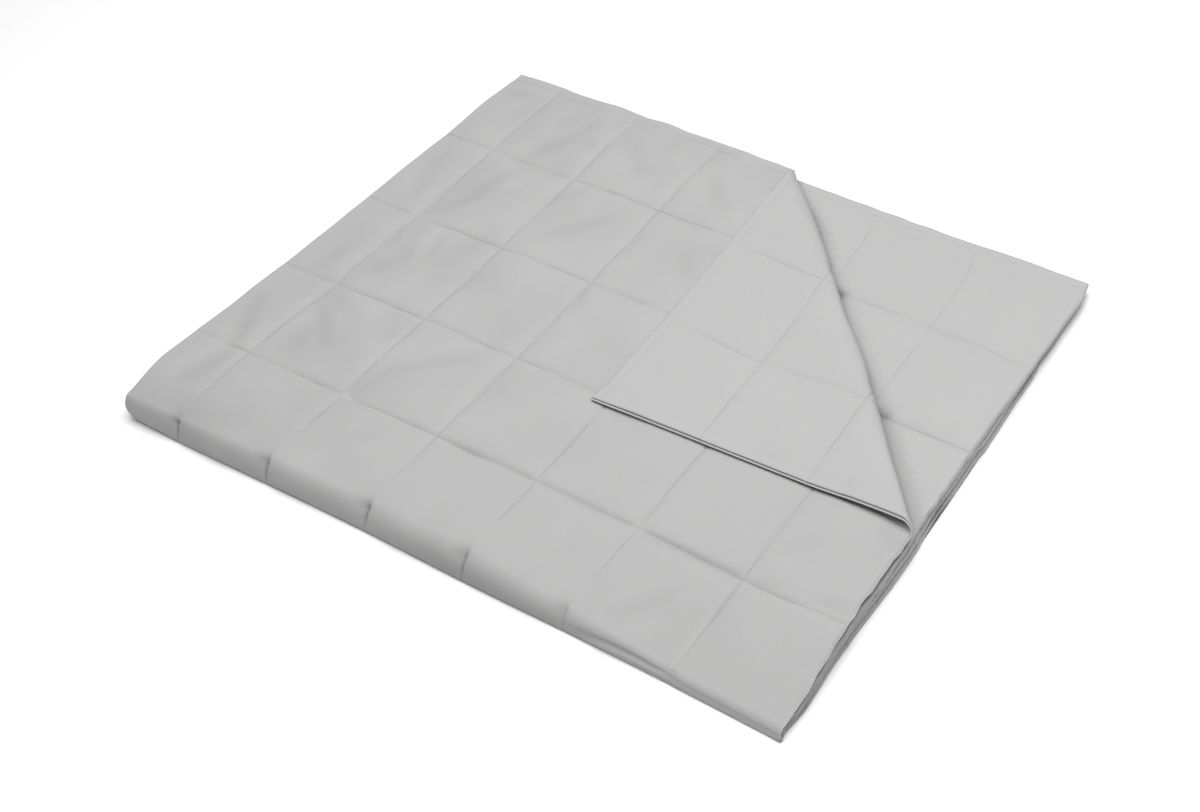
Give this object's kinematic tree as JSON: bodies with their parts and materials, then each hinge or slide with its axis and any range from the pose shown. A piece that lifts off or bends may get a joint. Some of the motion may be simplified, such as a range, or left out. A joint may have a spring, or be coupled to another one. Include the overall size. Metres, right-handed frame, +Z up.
{
  "type": "weighted blanket",
  "caption": "Plain grey quilted weighted blanket with square channels, folded in half twice into a flat pile, with one upper corner turned back.",
  "frame": {"origin": "middle of the footprint's bounding box, on the floor under the pile", "axes": "+Z up; +X along the blanket's long side, from the first fold to the free hems; +Y from the second fold at the front to the free hems at the back"},
  "size_m": [1.024, 0.7814, 0.0508],
  "materials": {
    "blanket_cloth": "matt soft woven cloth"
  },
  "bodies": {
    "root": {"weighted_blanket": "blanket_cloth"}
  },
  "joints": []
}
